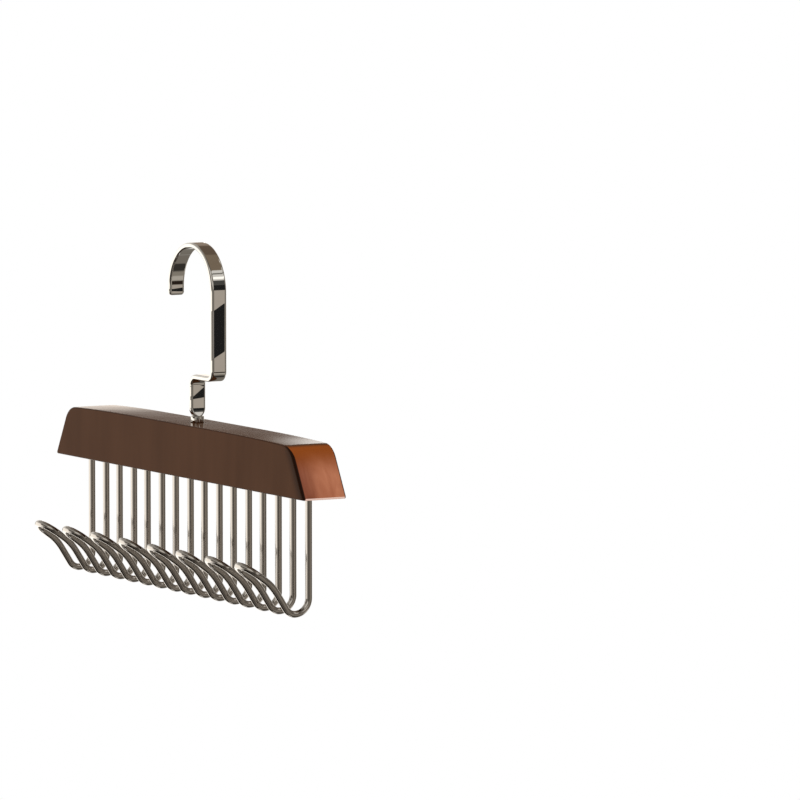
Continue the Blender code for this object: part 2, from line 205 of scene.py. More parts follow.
# Camera of the photograph
PHOTO_SIDE = 800
FOCAL_PIXELS = 7822.0
SENSOR_WIDTH = 36.0
CAMERA_YAW = math.radians(29.41)
CAMERA_PITCH = math.radians(5.40)
CAMERA_DISTANCE = 4.6123
CAMERA_CLIP_END = 50.0
BAR_FOOT_PIXEL = (197.5, 475.3)

# Surroundings
FLOOR_Z = -1.80
FLOOR_RADIUS = 0.30
FLOOR_COLOUR = (0.80, 0.80, 0.79)
FLOOR_LIFT = 0.35
FLOOR_SIDES = 96
HALF_TURN = 180.0

# Metals and nylon. Colours are linear, roughness has a least and a greatest value, and a scale is
# how often a pattern changes in a metre, or in a metre along X, Y and Z.
CHROME_COLOUR = (0.62, 0.60, 0.57)
WIRE_CHROME_COLOUR = (0.45, 0.42, 0.39)
ZINC_COLOUR = (0.55, 0.54, 0.52)
NYLON_COLOUR = (0.75, 0.73, 0.68)
POLISHED_ROUGHNESS = (0.02, 0.05)
PLATED_ROUGHNESS = (0.22, 0.38)
NYLON_ROUGHNESS = (0.35, 0.5)
CHROME_RIPPLE = 0.000002
WIRE_RIPPLE = 0.0000015
PLATED_RIPPLE = 0.00001
NYLON_RIPPLE = 0.00002
METAL_CLOUD_SCALE = 180.0
METAL_RIPPLE_SCALE = 220.0
METAL_MARK_SCALE = (900.0, 900.0, 60.0)
METAL_CLOUD_SHARE = 0.6
METAL_MARK_SHARE = 0.4
METAL_WORN_SHADE = 0.92
NYLON_CLOUD_SCALE = 900.0
NYLON_DARK_SHADE = 0.8

# Lacquered wood. A figure is a ramp: pairs of a level in its pattern and a colour.
SIDE_FIGURE_SCALE = (60.0, 40.0, 12.0)
SIDE_FIGURE = ((0.25, (0.057, 0.0220, 0.0085)), (0.75, (0.077, 0.0315, 0.0135)))
CLOUD_SCALE = (22.0, 30.0, 30.0)
CLOUD_SHARE = 0.5
CLOUD_COLOUR = (0.055, 0.0205, 0.0075)
END_FIGURE_SCALE = (60.0, 130.0, 45.0)
# The ends' red is the wood's own; their being lighter than the sides is painted light.
NEAR_END_FIGURE = ((0.3, (0.16, 0.045, 0.023)), (0.7, (0.25, 0.080, 0.044)))
FAR_END_FIGURE = ((0.3, (0.33, 0.105, 0.052)), (0.7, (0.48, 0.185, 0.100)))
SHOULDER_COLOUR = (0.235, 0.057, 0.0105)
# Darker beside the right end: partly a real stain, partly a painted dark reflection of the edge
# round.
STAIN_AND_DARK_REFLECTION_COLOUR = (0.022, 0.008, 0.003)
# Painted dark reflections along the edge rounds, darker on the upright edges at the ends.
LONG_EDGE_REFLECTION_COLOUR = (0.016, 0.006, 0.004)
LONG_EDGE_REFLECTION_SHARE = 0.6
END_EDGE_REFLECTION_COLOUR = (0.012, 0.005, 0.003)
# Painted highlight: a pale line on the ends' lower edge rounds.
LOWER_EDGE_HIGHLIGHT_COLOUR = (0.86, 0.61, 0.52)
PORE_SCALE = (60.0, 1400.0, 1400.0)
PORE_COLOUR = (0.020, 0.009, 0.005)
PORE_SHARE = 0.25
PORE_RELIEF = 0.03
LACQUER_ROUGHNESS = (0.07, 0.12)
LACQUER_SPECULAR = 0.015
LACQUER_RIPPLE = 0.0001

# Where the wood's colours lie, by place, by pore level or by a part of the surface's normal. Two
# values are where a colour begins and where it is full, three are a range's ends and its softness.
END_FACING = (0.18, 0.46)
FAR_END_Y = (-0.0135, 0.002)
SHOULDER_Z = (0.013, 0.028)
# Where the stain and the painted dark reflection beside the right end lie.
STAIN_AND_REFLECTION_FACING = (0.6, 0.9)
STAIN_AND_REFLECTION_FROM_END = (0.011, 0.001)
# Where the painted dark reflections on the edge rounds lie.
LONG_EDGE_REFLECTION_FACING = (0.34, 0.93, 0.06)
END_EDGE_REFLECTION_FACING = (0.22, 0.80, 0.08)
# Where the painted highlight on the ends' lower edge rounds lies.
LOWER_EDGE_HIGHLIGHT_SIDE_FACING = (0.45, 0.25)
LOWER_EDGE_HIGHLIGHT_UP_FACING = (-0.965, 0.33, 0.03)
PORE_LEVELS = (0.60, 0.80)


class Route:
    """A path in a plane, drawn as straight runs and round bends from a start and a heading."""

    def __init__(self, start, heading):
        self.points = [Vector(start)]
        self.headings = [heading]

    def forward(self):
        return Vector((math.cos(self.headings[-1]), math.sin(self.headings[-1])))

    def straight(self, length, largest_step=None):
        steps = math.ceil(length / largest_step) if largest_step else 1
        for _ in range(steps):
            self.points.append(self.points[-1] + self.forward() * length / steps)
            self.headings.append(self.headings[-1])

    def bend(self, radius, turn, largest_step=BEND_STEP):
        steps = math.ceil(abs(turn) / largest_step)
        side = math.copysign(radius, turn)
        ahead = self.forward()
        centre = self.points[-1] + Vector((-ahead.y, ahead.x)) * side
        first = self.headings[-1]
        for step in range(1, steps + 1):
            heading = first + turn * step / steps
            self.points.append(centre + Vector((math.sin(heading), -math.cos(heading))) * side)
            self.headings.append(heading)


# Mesh building

def mesh_from(name, points, faces):
    mesh = bpy.data.meshes.new(name)
    mesh.from_pydata(points, [], faces)
    bm = bmesh.new()
    bm.from_mesh(mesh)
    bmesh.ops.recalc_face_normals(bm, faces=bm.faces)
    bm.to_mesh(mesh)
    bm.free()
    mesh.shade_smooth()
    mesh.set_sharp_from_angle(angle=SMOOTH_ANGLE)
    return mesh


def loft(name, rings, closed=False):
    """Skin a row of equally fine rings; a closed row joins its last ring to its first."""
    size = len(rings[0])
    rows = len(rings)
    points = [point for ring in rings for point in ring]
    faces = []
    for row in range(rows if closed else rows - 1):
        here = row * size
        there = (row + 1) % rows * size
        for i in range(size):
            j = (i + 1) % size
            faces.append((here + i, here + j, there + j, there + i))
    if not closed:
        faces.append(tuple(range(size)))
        faces.append(tuple(range((rows - 1) * size, rows * size)))
    return mesh_from(name, points, faces)


def circle(radius, height, sides, x=0.0):
    angles = [math.tau * i / sides for i in range(sides)]
    return [(x + radius * math.cos(a), radius * math.sin(a), height) for a in angles]


def lathe(name, profile, sides=TURNED_SIDES, closed=False, x=0.0):
    """A turned form from (radius, height) pairs; a closed profile leaves a bore."""
    return loft(name, [circle(radius, height, sides, x) for radius, height in profile], closed)


def tube(name, path, radius, sides):
    """A round wire along a path. Each ring keeps the direction of the ring before it."""
    rings = []
    across = Vector((1.0, 0.0, 0.0))
    for i, point in enumerate(path):
        along = (path[min(i + 1, len(path) - 1)] - path[max(i - 1, 0)]).normalized()
        across = (across - along * across.dot(along)).normalized()
        side = along.cross(across)
        ring = []
        for step in range(sides):
            angle = math.tau * step / sides
            ring.append(point + (across * math.cos(angle) + side * math.sin(angle)) * radius)
        rings.append(ring)
    return loft(name, rings)


def arc(centre, radius, start, end, steps):
    """Points of an arc about a centre, from one angle to another."""
    points = []
    for step in range(steps + 1):
        angle = start + (end - start) * step / steps
        points.append((centre[0] + radius * math.cos(angle), centre[1] + radius * math.sin(angle)))
    return points


def rounded_rim(radius, top, bottom, size):
    """The rim of a turned form from top to bottom, with both of its edges rounded."""
    upper = arc((radius - size, top - size), size, math.pi / 2, 0.0, ROUND_STEPS)
    lower = arc((radius - size, bottom + size), size, 0.0, -math.pi / 2, ROUND_STEPS)
    return upper + lower


def joined(name, meshes):
    bm = bmesh.new()
    for mesh in meshes:
        bm.from_mesh(mesh)
    result = bpy.data.meshes.new(name)
    bm.to_mesh(result)
    bm.free()
    return result


def combined(mesh, other, operation):
    """The mesh that is left when another one is cut from it, or crossed with it."""
    scene = bpy.context.scene.collection.objects
    base = bpy.data.objects.new("base", mesh)
    tool = bpy.data.objects.new("tool", other)
    scene.link(base)
    scene.link(tool)
    modifier = base.modifiers.new("cut", "BOOLEAN")
    modifier.operation = operation
    modifier.solver = "EXACT"
    modifier.object = tool
    evaluated = base.evaluated_get(bpy.context.evaluated_depsgraph_get())
    result = bpy.data.meshes.new_from_object(evaluated)
    bpy.data.objects.remove(base)
    bpy.data.objects.remove(tool)
    result.shade_smooth()
    result.set_sharp_from_angle(angle=SMOOTH_ANGLE)
    return result


def place(name, mesh, material, body, node=None, location=(0.0, 0.0, 0.0)):
    """A visible piece of the hanger that moves with a body of the model."""
    mesh.materials.clear()
    mesh.materials.append(material)
    piece = bpy.data.objects.new(name, mesh)
    piece.location = location
    bpy.context.scene.collection.objects.link(piece)
    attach(piece, body)
    if node:
        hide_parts(node)
    return piece


# Strip hook

def quarter_inset(distance, radius):
    """How far a quarter round of the given radius draws an edge in at a distance from the end."""
    if distance >= radius:
        return 0.0
    return radius - math.sqrt(radius ** 2 - (radius - distance) ** 2)


def strip_section(half_width, half_thickness, radius):
    """Section of the strip as (across, through) pairs, with points along both of its faces."""
    points = []
    corners = ((1, 1), (-1, 1), (-1, -1), (1, -1))
    for quarter, (sign_across, sign_through) in enumerate(corners):
        centre_across = sign_across * (half_width - radius)
        centre_through = sign_through * (half_thickness - radius)
        start = math.pi / 2 * quarter
        points += arc((centre_across, centre_through), radius, start, start + math.pi / 2,
                      CORNER_CHORDS)
        if quarter in (0, 2):
            for step in range(1, FACE_STEPS):
                share = 1 - 2 * step / FACE_STEPS
                points.append((centre_across * share, points[-1][1]))
    crowned = []
    for across, through in points:
        drop = STRIP_FACE_CROWN * abs(across / half_width) ** STRIP_CROWN_POWER
        crowned.append((across, through - math.copysign(min(drop, abs(through)), through)))
    return crowned


def foot_swell_share(share):
    """How much of its swell the foot has: it gathers up to the knee and then grows evenly."""
    even_length = 1 - FOOT_SWELL_KNEE / 2
    if share < FOOT_SWELL_KNEE:
        return share * share / (2 * FOOT_SWELL_KNEE * even_length)
    return (share - FOOT_SWELL_KNEE / 2) / even_length


def foot_section(share):
    """The strip's section in its foot: narrower and thicker downwards, round only at its end."""
    half_width = STRIP_WIDTH / 2 + (NECK_RADIUS - STRIP_WIDTH / 2) * (share * share)
    half_thickness = STRIP_THICKNESS / 2 + FOOT_SWELL * foot_swell_share(share)
    round_gain = NECK_RADIUS * SECTION_ROUND_LIMIT - STRIP_EDGE_RADIUS
    radius = STRIP_EDGE_RADIUS + round_gain * share ** FOOT_ROUND_POWER
    radius = min(radius, SECTION_ROUND_LIMIT * half_thickness)
    return strip_section(half_width, half_thickness, radius)


def polish_lean(side, z, across):
    """How far one side leans upwards at one place of an upright part of the strip."""
    lean = 0.0
    for part_side, low_end, high_end, reach in POLISHED_PARTS:
        if part_side != side:
            continue
        share = (1 + math.tanh((reach - across) / POLISH_SIDE_SOFTNESS)) / 2
        for (level, askew, softness), sign in ((low_end, 1), (high_end, -1)):
            share *= (1 + math.tanh(sign * (z - level - askew * across) / softness)) / 2
        lean += POLISH_TILT * share
    return lean


def tip_stations():
    """The strip's sections in its free tip, whose corners and edges are rounded."""
    half_width = STRIP_WIDTH / 2
    half_thickness = STRIP_THICKNESS / 2
    steps = 2 * ROUND_STEPS
    stations = []
    for step in range(steps):
        distance = TIP_CORNER_RADIUS * (1 - math.cos(math.pi / 2 * step / steps))
        across = half_width - quarter_inset(distance, TIP_CORNER_RADIUS)
        through = half_thickness - quarter_inset(distance, STRIP_EDGE_RADIUS)
        edge_radius = STRIP_EDGE_RADIUS * through / half_thickness
        middle = Vector((-STRIP_CENTRE_RADIUS, TIP_Z + distance))
        stations.append((middle, math.pi / 2, strip_section(across, through, edge_radius)))
    return stations


def strip_route():
    """Centre line of the strip's even part, from behind the tip's corners to the foot."""
    route = Route((-STRIP_CENTRE_RADIUS, TIP_Z + TIP_CORNER_RADIUS), math.pi / 2)
    route.straight(TIP_LENGTH - TIP_CORNER_RADIUS, SHANK_STEP / 2)
    route.bend(STRIP_CENTRE_RADIUS, -math.pi, RAIL_BEND_STEP)
    route.straight(SHANK_LENGTH, SHANK_STEP)
    route.bend(OFFSET_CENTRE_RADIUS, -math.pi / 2)
    route.straight(STRIP_CENTRE_RADIUS - 2 * OFFSET_CENTRE_RADIUS)
    route.bend(OFFSET_CENTRE_RADIUS, math.pi / 2)
    route.straight(LOWER_LEG_LENGTH, SHANK_STEP)
    return route


def strip_stations():
    """The strip from its free tip to its neck, as triples of a place, a heading and a section."""
    stations = tip_stations()
    even = strip_section(STRIP_WIDTH / 2, STRIP_THICKNESS / 2, STRIP_EDGE_RADIUS)
    route = strip_route()
    stations += [(point, heading, even) for point, heading in zip(route.points, route.headings)]
    for step in range(1, FOOT_STEPS + 1):
        share = step / FOOT_STEPS
        middle = Vector((0.0, FOOT_Z - FOOT_TAPER_LENGTH * share))
        stations.append((middle, -math.pi / 2, foot_section(share)))
    stations.append((Vector((0.0, NECK_END_Z)), -math.pi / 2, foot_section(1.0)))
    return stations


def make_strip(material):
    """The strip hook. Its shading normals lean where polishing has tilted its faces."""
    rings = []
    leans = []
    for middle, heading, section in strip_stations():
        normal = Vector((-math.sin(heading), math.cos(heading)))
        upright_share = abs(math.sin(heading)) ** POLISH_UPRIGHT_POWER
        ring = []
        for across, through in section:
            ring.append((middle.x + normal.x * through, across, middle.y + normal.y * through))
            lean = polish_lean(math.copysign(1, through), middle.y, across)
            leans.append(lean * upright_share)
        rings.append(ring)
    mesh = loft("strip_hook", rings)
    normals = [(vertex.normal + Vector((0.0, 0.0, math.tan(lean)))).normalized()
               for vertex, lean in zip(mesh.vertices, leans)]
    mesh.normals_split_custom_set_from_vertices(normals)
    place("strip_hook", mesh, material, "hook", "hook_strip")


# Pin, washer and lock nut

def thread_rings(top, length):
    """Rings down a cut thread, each with the groove turned a little further round."""
    step = THREAD_PITCH / THREAD_STEPS_PER_TURN
    rings = []
    for row in range(1, math.floor(length / step) + 1):
        height = top - step * row
        ring = []
        for i in range(TURNED_SIDES):
            angle = math.tau * i / TURNED_SIDES
            turn_share = (height / THREAD_PITCH - angle / math.tau) % 1.0
            radius = THREAD_RADIUS - THREAD_DEPTH * abs(2 * turn_share - 1)
            ring.append((radius * math.cos(angle), radius * math.sin(angle), height))
        rings.append(ring)
    return rings


def make_pin(material):
    """The turned pin: a collar with a socket for the strip's neck, a shank and a cut thread."""
    half_edge = COLLAR_EDGE_RADIUS / 2
    profile = [
        (SOCKET_RADIUS, SOCKET_FLOOR_Z),
        (SOCKET_RADIUS, NECK_Z - half_edge),
        (SOCKET_RADIUS + half_edge, NECK_Z),
        *rounded_rim(COLLAR_RADIUS, NECK_Z, COLLAR_BOTTOM_Z, COLLAR_EDGE_RADIUS),
        (PIN_RADIUS, COLLAR_BOTTOM_Z),
        (PIN_RADIUS, RECESS_CEILING_Z),
        (THREAD_RADIUS, RECESS_CEILING_Z),
    ]
    rings = [circle(radius, height, TURNED_SIDES) for radius, height in profile]
    rings += thread_rings(RECESS_CEILING_Z, RECESS_CEILING_Z - PIN_END_Z - THREAD_CHAMFER)
    root_radius = THREAD_RADIUS - THREAD_DEPTH
    rings.append(circle(root_radius, PIN_END_Z + THREAD_CHAMFER / 2, TURNED_SIDES))
    rings.append(circle(root_radius - THREAD_CHAMFER, PIN_END_Z, TURNED_SIDES))
    mesh = loft("turned_pin", rings)
    place("turned_pin", mesh, material, "hook", "swivel_pin")


def make_washer(material):
    profile = [
        (NUT_BORE_RADIUS, WASHER_TOP_Z),
        *rounded_rim(WASHER_RADIUS, WASHER_TOP_Z, WASHER_BOTTOM_Z, WASHER_EDGE_RADIUS),
        (NUT_BORE_RADIUS, WASHER_BOTTOM_Z),
    ]
    mesh = lathe("washer", profile, closed=True)
    place("washer", mesh, material, "hook", "thrust_washer")


def make_lock_nut(material):
    """A hexagon with chamfered corners, and a round crown that holds the locking ring."""
    corner = NUT_ACROSS_FLATS / 2 / math.cos(math.pi / NUT_SIDES)
    profile = [
        (NUT_BORE_RADIUS, NUT_TOP_Z),
        (corner - NUT_CHAMFER, NUT_TOP_Z),
        (corner, NUT_TOP_Z - NUT_CHAMFER / 2),
        (corner, NUT_HEX_BOTTOM_Z + NUT_CHAMFER / 2),
        (corner - NUT_CHAMFER, NUT_HEX_BOTTOM_Z),
        (NUT_CROWN_RADIUS, NUT_HEX_BOTTOM_Z),
        (NUT_CROWN_RADIUS, NUT_BOTTOM_Z + NUT_CHAMFER),
        (NUT_CROWN_RADIUS - NUT_CHAMFER / 2, NUT_BOTTOM_Z + NUT_LIP),
        (NUT_RING_RADIUS, NUT_BOTTOM_Z),
        (NUT_RING_RADIUS, NUT_RING_TOP_Z),
        (NUT_BORE_RADIUS, NUT_RING_TOP_Z),
    ]
    ends = (NUT_BOTTOM_Z - CUT_OVERRUN, NUT_TOP_Z + CUT_OVERRUN)
    prism = loft("prism", [circle(corner, height, NUT_SIDES) for height in ends])
    nut = combined(lathe("nut", profile, closed=True), prism, "INTERSECT")
    place("hexagon_nut", nut, material, "hook", "lock_nut")


def make_locking_ring(material):
    """The nylon ring in the nut's crown, which grips the thread."""
    inner = THREAD_RADIUS + NUT_RING_MARGIN
    outer = NUT_RING_RADIUS - NUT_RING_MARGIN
    top = NUT_RING_TOP_Z - NUT_RING_MARGIN
    profile = [
        (inner, top),
        (outer, top),
        (outer, NUT_BOTTOM_Z + NUT_LIP),
        (inner + NUT_LIP, NUT_BOTTOM_Z + NUT_LIP),
        (inner, NUT_BOTTOM_Z + 2 * NUT_LIP),
    ]
    mesh = lathe("nut_locking_ring", profile, closed=True)
    place("nut_locking_ring", mesh, material, "hook")


# Wooden bar

def bar_stations():
    """Places across the bar's thickness where its outline is drawn, closer in the edge rounds."""
    flat = BAR_THICKNESS / 2 - BAR_EDGE_RADIUS
    half = [flat * step / BAR_FACE_STEPS for step in range(BAR_FACE_STEPS)]
    for step in range(BAR_EDGE_STEPS + 1):
        half.append(flat + BAR_EDGE_RADIUS * math.sin(math.pi / 2 * step / BAR_EDGE_STEPS))
    return [-y for y in reversed(half[1:])] + half


def bar_half_outline(y):
    """Half of the bar's outline at one place across it, from the underside to the middle top."""
    half = BAR_THICKNESS / 2
    from_side = half - abs(y)
    inset = quarter_inset(from_side, BAR_EDGE_RADIUS)
    bottom = quarter_inset(from_side, BAR_BOTTOM_RADIUS)
    top_inset = quarter_inset(from_side, BAR_TOP_EDGE_RADIUS)
    top = BAR_HEIGHT - BAR_CROWN * (y / half) ** 2 - top_inset
    end_drop = BAR_ARCH + BAR_END_CROWN * (y / half) ** 2
    foot_x = BAR_LENGTH / 2 - inset / math.cos(BAR_END_SLANT)
    corner_z = bottom + BAR_BOTTOM_RADIUS
    corner_reach = BAR_BOTTOM_RADIUS + corner_z * math.sin(BAR_END_SLANT)
    corner_x = foot_x - corner_reach / math.cos(BAR_END_SLANT)
    radius = BAR_END_RADIUS - inset
    round_z = top - end_drop - radius
    round_x = foot_x - round_z * math.tan(BAR_END_SLANT) - radius / math.cos(BAR_END_SLANT)
    points = arc((corner_x, corner_z), BAR_BOTTOM_RADIUS, -math.pi / 2, BAR_END_SLANT, ROUND_STEPS)
    points += arc((round_x, round_z), radius, BAR_END_SLANT, math.pi / 2, BAR_END_STEPS)
    for step in range(1, BAR_ARCH_STEPS + 1):
        share = 1 - step / BAR_ARCH_STEPS
        points.append((round_x * share, top - end_drop * share ** BAR_ARCH_POWER))
    return points


def hole_profile(radius, depth):
    """A blind hole's cutter, with a chamfered mouth in the underside."""
    mouth = radius + HOLE_CHAMFER
    return [(radius, depth), (radius, HOLE_CHAMFER), (mouth, 0.0), (mouth, -CUT_OVERRUN)]


def make_bar(material):
    """The bar: outlines lofted across its thickness, then bored for the legs and the pin."""
    rings = []
    for y in bar_stations():
        right = bar_half_outline(y)
        left = [(-x, z) for x, z in reversed(right[:-1])]
        rings.append([(x, y, z) for x, z in right + left])
    solid = loft("bar_solid", rings)

    leg_profile = hole_profile(WIRE_RADIUS + LEG_HOLE_MARGIN, LEG_SOCKET_DEPTH)
    cutters = [lathe("leg_hole", leg_profile, HOLE_SIDES, x=x) for x in leg_places()]
    bore = PIN_RADIUS + BORE_MARGIN
    bore_profile = [(bore, BAR_HEIGHT + CUT_OVERRUN), (bore, RECESS_DEPTH)]
    bore_profile += hole_profile(RECESS_RADIUS, RECESS_DEPTH)
    cutters.append(lathe("pin_bore", bore_profile))
    mesh = combined(solid, joined("holes", cutters), "DIFFERENCE")
    bar = place("lacquered_bar", mesh, material, "bar", "wooden_bar",
                (0.0, 0.0, BAR_BOTTOM_Z))
    evener = bar.modifiers.new("even_shading", "WEIGHTED_NORMAL")
    evener.keep_sharp = True


# Wire hooks

def hook_places():
    """The wire hooks' centres along the bar, the same on either side of the pin."""
    half = [FIRST_HOOK_X + index * HOOK_PITCH for index in range(HOOKS_PER_SIDE)]
    return [-x for x in reversed(half)] + half


def leg_places():
    """The legs' centres along the bar, two to a hook."""
    return [x + side * LEG_SPACING / 2 for x in hook_places() for side in (-1, 1)]


def wire_path():
    """Centre line of one wire hook about its middle, from leg end to leg end."""
    leg_top = LEG_SOCKET_DEPTH - SEAT_GAP
    route = Route((0.0, leg_top), -math.pi / 2)
    route.straight(leg_top + LEG_DROP)
    route.bend(CROOK_RADIUS, math.pi / 2)
    route.bend(RISE_BEND_RADIUS, RISE_ANGLE)
    route.straight(RISE_LENGTH)
    route.bend(TONGUE_BEND_RADIUS, TONGUE_ANGLE - RISE_ANGLE)
    route.straight(TONGUE_LENGTH)
    ahead = route.forward()
    radius = LEG_SPACING / 2
    side = [Vector((-radius, -point.x, point.y)) for point in route.points]
    tip = []
    for step in range(1, TIP_BEND_STEPS):
        angle = math.pi * step / TIP_BEND_STEPS
        point = route.points[-1] + ahead * radius * math.sin(angle)
        tip.append(Vector((-radius * math.cos(angle), -point.x, point.y)))
    other = [Vector((-point.x, point.y, point.z)) for point in reversed(side)]
    return side + tip + other


def make_wire_hooks(material):
    """The wire hooks, which share one mesh."""
    mesh = tube("bent_wire", wire_path(), WIRE_RADIUS, WIRE_SIDES)
    for number, x in enumerate(hook_places(), start=1):
        place(f"bent_wire_{number}", mesh, material, "bar", f"wire_hook_{number}",
              (x, 0.0, BAR_BOTTOM_Z))


# Finishes

# Sockets by which the Mix node takes and gives colours
MIX_FIRST = 6
MIX_SECOND = 7
MIX_RESULT = 2


class Graph:
    """Adds nodes to the tree of one material or world, and links them."""

    def __init__(self, tree):
        self.tree = tree

    def put(self, socket, value):
        if isinstance(value, bpy.types.NodeSocket):
            self.tree.links.new(value, socket)
        elif hasattr(value, "__len__") and len(value) == 3 and len(socket.default_value) == 4:
            socket.default_value = (*value, 1.0)
        else:
            socket.default_value = value

    def node(self, kind, inputs, output=0, **settings):
        made = self.tree.nodes.new("ShaderNode" + kind)
        for name, value in settings.items():
            setattr(made, name, value)
        for name, value in inputs.items():
            self.put(made.inputs[name], value)
        return made.outputs[output] if made.outputs else None

    def math(self, operation, *values):
        return self.node("Math", dict(enumerate(values)), operation=operation)

    def times(self, one, other):
        return self.math("MULTIPLY", one, other)

    def mix(self, share, one, other):
        inputs = {"Factor": share, MIX_FIRST: one, MIX_SECOND: other}
        return self.node("Mix", inputs, MIX_RESULT, data_type="RGBA")

    def axis(self, vector, name):
        return self.node("SeparateXYZ", {"Vector": vector}, name)

    def stretched(self, vector, scale):
        return self.node("Mapping", {"Vector": vector, "Scale": scale})

    def noise(self, vector, scale=1.0, detail=2.0, roughness=0.5, distortion=0.0):
        inputs = {"Vector": vector, "Scale": scale, "Detail": detail, "Roughness": roughness,
                  "Distortion": distortion}
        return self.node("TexNoise", inputs)

    def rise(self, value, start, end):
        """0 up to a start value and 1 past an end value, which may be the lower of the two."""
        return self.node("MapRange", {"Value": value, "From Min": start, "From Max": end},
                         interpolation_type="SMOOTHSTEP")

    def window(self, value, low, high, soft):
        """1 between two values and 0 outside them, with soft edges."""
        return self.times(self.rise(value, low - soft, low + soft),
                          self.rise(value, high + soft, high - soft))

    def ramp(self, value, stops):
        made = self.tree.nodes.new("ShaderNodeValToRGB")
        self.put(made.inputs["Fac"], value)
        elements = made.color_ramp.elements
        while len(elements) < len(stops):
            elements.new(1.0)
        for element, (position, colour) in zip(elements, stops):
            element.position = position
            element.color = (*colour, 1.0)
        return made.outputs["Color"]

    def level(self, value, low, high):
        """A value between 0 and 1 as one between two levels."""
        return self.node("MapRange", {"Value": value, "To Min": low, "To Max": high})

    def bump(self, height, distance):
        return self.node("Bump", {"Height": height, "Distance": distance})


def new_material(name):
    material = bpy.data.materials.new(name)
    material.use_nodes = True
    return material, Graph(material.node_tree), material.node_tree.nodes["Principled BSDF"]


def finish(graph, shader, colour, roughness, relief, depth):
    """Gives a shader its colour, its roughness and a relief of some depth."""
    graph.put(shader.inputs["Base Color"], colour)
    graph.put(shader.inputs["Roughness"], roughness)
    graph.put(shader.inputs["Normal"], graph.bump(relief, depth))


def shaded(colour, share):
    return tuple(channel * share for channel in colour)


def metal(name, colour, roughness, ripple):
    """Polished or plated steel: cloudy gloss, fine polishing marks and a slight ripple."""
    material, graph, shader = new_material(name)
    shader.inputs["Metallic"].default_value = 1.0
    coords = graph.node("TexCoord", {}, "Object")
    cloud = graph.noise(coords, METAL_CLOUD_SCALE, detail=3.0, roughness=0.6)
    marks = graph.noise(graph.stretched(coords, METAL_MARK_SCALE), detail=4.0, roughness=0.7)
    wave = graph.noise(coords, METAL_RIPPLE_SCALE, detail=1.0, roughness=0.4)
    gloss = graph.math("ADD", graph.times(cloud, METAL_CLOUD_SHARE),
                       graph.times(marks, METAL_MARK_SHARE))
    worn = graph.mix(cloud, colour, shaded(colour, METAL_WORN_SHADE))
    finish(graph, shader, worn, graph.level(gloss, *roughness), wave, ripple)
    return material


def nylon(name):
    material, graph, shader = new_material(name)
    coords = graph.node("TexCoord", {}, "Object")
    cloud = graph.noise(coords, NYLON_CLOUD_SCALE, detail=3.0, roughness=0.6)
    colour = graph.mix(cloud, NYLON_COLOUR, shaded(NYLON_COLOUR, NYLON_DARK_SHADE))
    finish(graph, shader, colour, graph.level(cloud, *NYLON_ROUGHNESS), cloud, NYLON_RIPPLE)
    return material


def side_wood(graph, coords, clouds):
    """The sides' colour: a soft figure under darker clouds."""
    figure = graph.noise(graph.stretched(coords, SIDE_FIGURE_SCALE), detail=3.0, roughness=0.55,
                         distortion=0.3)
    cloud_share = graph.level(clouds, 0.0, CLOUD_SHARE)
    return graph.mix(cloud_share, graph.ramp(figure, SIDE_FIGURE), CLOUD_COLOUR)


def end_wood(graph, coords):
    """The ends' colour: redder, and lighter as painted light; lighter towards the far side; orange
    on the shoulder.
    """
    figure = graph.noise(graph.stretched(coords, END_FIGURE_SCALE), detail=3.0, distortion=0.6)
    near = graph.ramp(figure, NEAR_END_FIGURE)
    far = graph.ramp(figure, FAR_END_FIGURE)
    colour = graph.mix(graph.rise(graph.axis(coords, "Y"), *FAR_END_Y), near, far)
    return graph.mix(graph.rise(graph.axis(coords, "Z"), *SHOULDER_Z), colour, SHOULDER_COLOUR)


def stain_and_dark_reflections(graph, colour, coords, over_end, over_side):
    """Stain and painted dark reflection beside the right end, and painted dark reflections on the
    edges.
    """
    slope = graph.times(graph.axis(coords, "Z"), math.tan(BAR_END_SLANT))
    from_end = graph.math("SUBTRACT", BAR_LENGTH / 2,
                          graph.math("ADD", graph.axis(coords, "X"), slope))
    # Beside the right end: partly real stain, partly a painted dark reflection of the edge round.
    beside_end = graph.times(graph.rise(over_side, *STAIN_AND_REFLECTION_FACING),
                             graph.rise(from_end, *STAIN_AND_REFLECTION_FROM_END))
    colour = graph.mix(beside_end, colour, STAIN_AND_DARK_REFLECTION_COLOUR)
    # Painted dark reflection along the edge rounds.
    long_edge_reflection = graph.window(over_side, *LONG_EDGE_REFLECTION_FACING)
    colour = graph.mix(graph.times(long_edge_reflection, LONG_EDGE_REFLECTION_SHARE), colour, LONG_EDGE_REFLECTION_COLOUR)
    # Darkest painted reflection on the upright edges between the sides and the ends.
    end_edge_reflection = graph.times(long_edge_reflection, graph.window(over_end, *END_EDGE_REFLECTION_FACING))
    return graph.mix(end_edge_reflection, colour, END_EDGE_REFLECTION_COLOUR)


